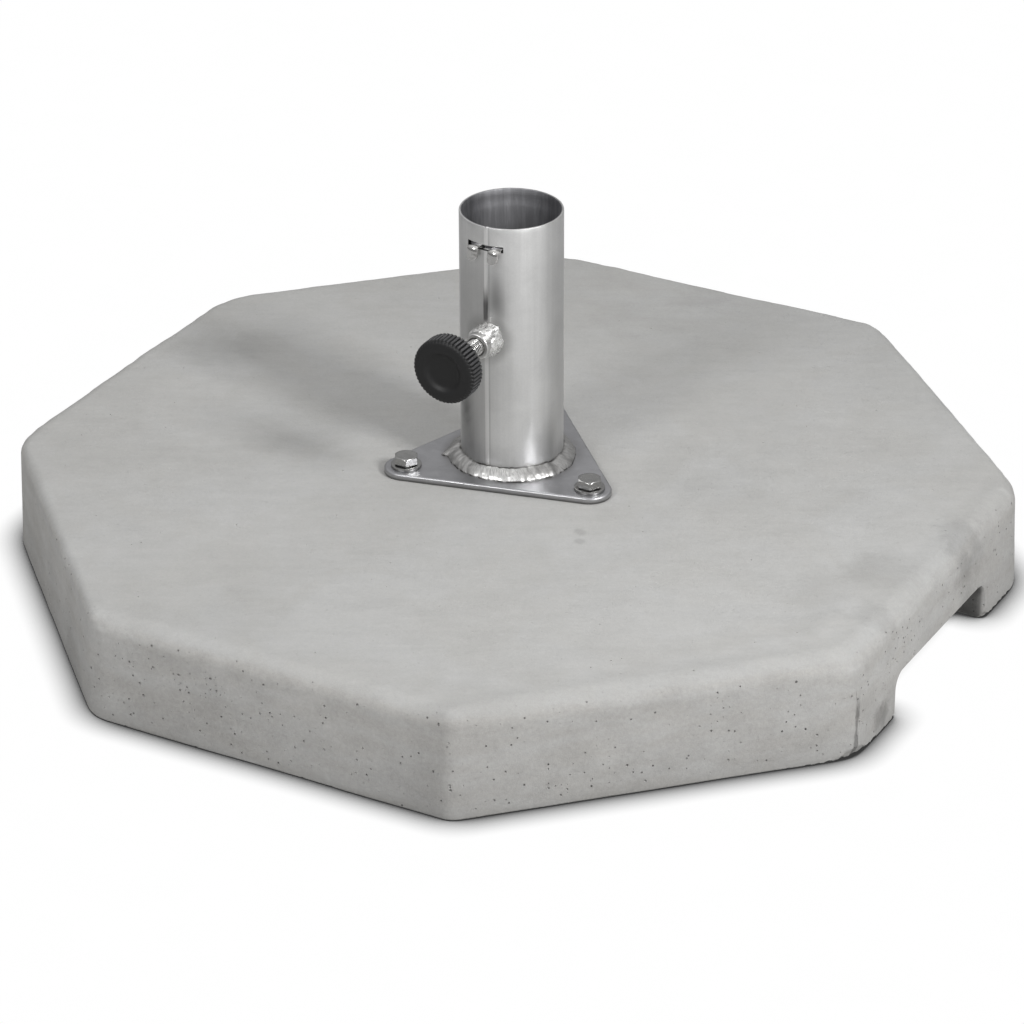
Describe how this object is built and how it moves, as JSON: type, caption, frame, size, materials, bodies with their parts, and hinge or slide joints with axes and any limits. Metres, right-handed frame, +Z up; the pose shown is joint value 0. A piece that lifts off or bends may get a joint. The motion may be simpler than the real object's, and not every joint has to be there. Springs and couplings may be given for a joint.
{
  "type": "parasol base",
  "caption": "Octagonal concrete parasol base with a bolted-on steel stand tube; a hand-turned clamp screw pushes a hinged leaf against the pole.",
  "frame": {"origin": "centre of the slab's underside, on the stand tube's axis", "axes": "+Z up along the stand tube; -Y towards the clamp knob; the two hand grips open to +X and -X"},
  "size_m": [0.555, 0.555, 0.225],
  "materials": {
    "concrete": "smooth cast grey concrete with fine air holes",
    "reinforcing_steel": "plain round bar, mill scale",
    "zinc_plated_steel": "bright zinc plate",
    "galvanised_plate": "dull galvanised sheet",
    "galvanised_tube": "satin galvanised",
    "weld_metal": "weld bead, galvanised over",
    "knob_plastic": "black moulded plastic",
    "cap_plastic": "natural nylon",
    "leaf_steel": "bent sheet steel, zinc plated"
  },
  "bodies": {
    "base": {"concrete_slab": "concrete", "reinforcement_ring": "reinforcing_steel", "reinforcement_bars": "reinforcing_steel", "anchor_inserts": "zinc_plated_steel", "base_plate": "galvanised_plate", "washers": "zinc_plated_steel", "hex_bolts": "zinc_plated_steel", "stand_tube": "galvanised_tube", "base_weld": "weld_metal", "screw_boss": "zinc_plated_steel", "boss_weld": "weld_metal"},
    "cap": {"thrust_cap": "cap_plastic"},
    "screw": {"clamp_stud": "zinc_plated_steel", "knob": "knob_plastic"},
    "leaf": {"pressure_leaf": "leaf_steel"}
  },
  "joints": [
    {"name": "screw_advance", "type": "slide", "parent": "base", "child": "cap", "axis": [0, 1, 0], "range_m": [0, 0.016]},
    {"name": "knob_turn", "type": "hinge", "parent": "cap", "child": "screw", "pos_m": [0, 0, 0.1553], "axis": [0, 1, 0], "range_deg": [0, 3840.5]},
    {"name": "leaf_swing", "type": "hinge", "parent": "base", "child": "leaf", "pos_m": [-0.00153, -0.02911, 0.2103], "axis": [0.9986, -0.0523, 0], "range_deg": [0, 16.75]}
  ],
  "couplings": [
    {"joint": "knob_turn", "follows": "screw_advance", "rad_per_m": 4188.8},
    {"joint": "leaf_swing", "follows": "screw_advance", "rad_per_m": 18.182}
  ]
}
